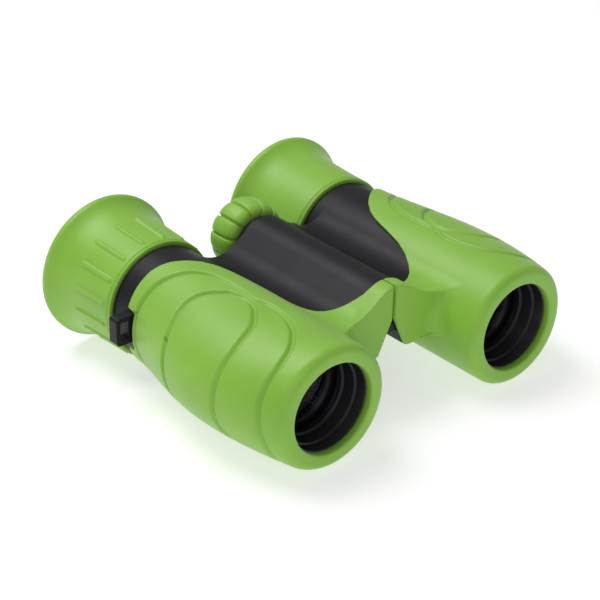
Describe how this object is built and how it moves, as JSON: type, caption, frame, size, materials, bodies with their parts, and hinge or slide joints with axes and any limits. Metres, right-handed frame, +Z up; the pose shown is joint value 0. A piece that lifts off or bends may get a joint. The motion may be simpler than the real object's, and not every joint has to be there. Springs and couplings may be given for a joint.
{
  "type": "compact binoculars",
  "caption": "Compact folding roof-prism binoculars with rubber-armoured barrels, flared eyecups, a centre focus wheel, a dioptre eyecup and strap lugs.",
  "frame": {"origin": "centre of the overall box: midway between the two optical axes and midway along the length, barrels fully open", "axes": "+Y towards the user's eyes, +Z up, +X towards the user's left-hand barrel, optical axes along Y at z = 0"},
  "size_m": [0.11, 0.097, 0.0416],
  "materials": {
    "green_rubber": "soft-touch matt moulded rubber",
    "black_abs": "satin moulded",
    "coated_glass": "polished, coated",
    "prism_glass": "polished",
    "spring_steel": "stamped",
    "black_aluminium": "matt black",
    "steel": "turned",
    "brass": "turned"
  },
  "bodies": {
    "right_body": {"right_housing": "black_abs", "right_armour": "green_rubber", "right_objective_baffle": "black_abs", "right_prism_cage": "black_abs", "right_half_penta_prism": "prism_glass", "right_roof_prism": "prism_glass", "right_prism_clip": "spring_steel", "hinge_axle": "steel", "hinge_nut": "steel", "hinge_washers": "black_abs"},
    "left_body": {"left_housing": "black_abs", "left_armour": "green_rubber", "left_objective_baffle": "black_abs", "left_prism_cage": "black_abs", "left_half_penta_prism": "prism_glass", "left_roof_prism": "prism_glass", "left_prism_clip": "spring_steel", "left_eyepiece_tube": "black_abs", "left_field_lens": "prism_glass", "left_eye_lens": "coated_glass", "left_eyepiece_retainer": "black_aluminium", "left_eyecup_ring": "black_abs", "left_eyecup": "green_rubber"},
    "focus_wheel": {"focus_wheel_hub": "black_abs", "focus_wheel_tyre": "green_rubber", "focus_screw": "brass", "wheel_cap_screw": "steel"},
    "carriage": {"focus_nut": "brass", "focus_cross_pins": "steel", "focus_carriage": "black_abs"},
    "right_objective": {"right_objective_cell": "black_abs", "right_objective_crown": "coated_glass", "right_objective_flint": "prism_glass", "right_objective_retainer": "black_aluminium", "right_focus_arm": "spring_steel"},
    "left_objective": {"left_objective_cell": "black_abs", "left_objective_crown": "coated_glass", "left_objective_flint": "prism_glass", "left_objective_retainer": "black_aluminium", "left_focus_arm": "spring_steel"},
    "dioptre": {"dioptre_ring": "black_abs", "right_eyecup": "green_rubber"},
    "right_eyepiece": {"right_eyepiece_tube": "black_abs", "right_field_lens": "prism_glass", "right_eye_lens": "coated_glass", "right_eyepiece_retainer": "black_aluminium"}
  },
  "joints": [
    {"name": "barrel_fold", "type": "hinge", "parent": "right_body", "child": "left_body", "pos_m": [0, 0, 0.0085], "axis": [0, 1, 0], "range_deg": [0, 40]},
    {"name": "focus_turn", "type": "hinge", "parent": "right_body", "child": "focus_wheel", "pos_m": [0, 0.0255, 0.0085], "axis": [0, 1, 0], "range_deg": [-135, 135]},
    {"name": "focus_travel", "type": "slide", "parent": "right_body", "child": "carriage", "axis": [0, 1, 0], "range_m": [-0.0015, 0.0015]},
    {"name": "right_objective_travel", "type": "slide", "parent": "right_body", "child": "right_objective", "axis": [0, 1, 0], "range_m": [-0.0015, 0.0015]},
    {"name": "left_objective_travel", "type": "slide", "parent": "left_body", "child": "left_objective", "axis": [0, 1, 0], "range_m": [-0.0015, 0.0015]},
    {"name": "dioptre_turn", "type": "hinge", "parent": "right_body", "child": "dioptre", "pos_m": [-0.032, 0.03, 0], "axis": [0, 1, 0], "range_deg": [-60, 60]},
    {"name": "dioptre_travel", "type": "slide", "parent": "right_body", "child": "right_eyepiece", "axis": [0, 1, 0], "range_m": [-0.001, 0.001]}
  ],
  "couplings": [
    {"joint": "focus_travel", "follows": "focus_turn", "m_per_rad": 0.000636},
    {"joint": "right_objective_travel", "follows": "focus_turn", "m_per_rad": 0.000636},
    {"joint": "left_objective_travel", "follows": "focus_turn", "m_per_rad": 0.000636},
    {"joint": "dioptre_travel", "follows": "dioptre_turn", "m_per_rad": 0.00095}
  ]
}
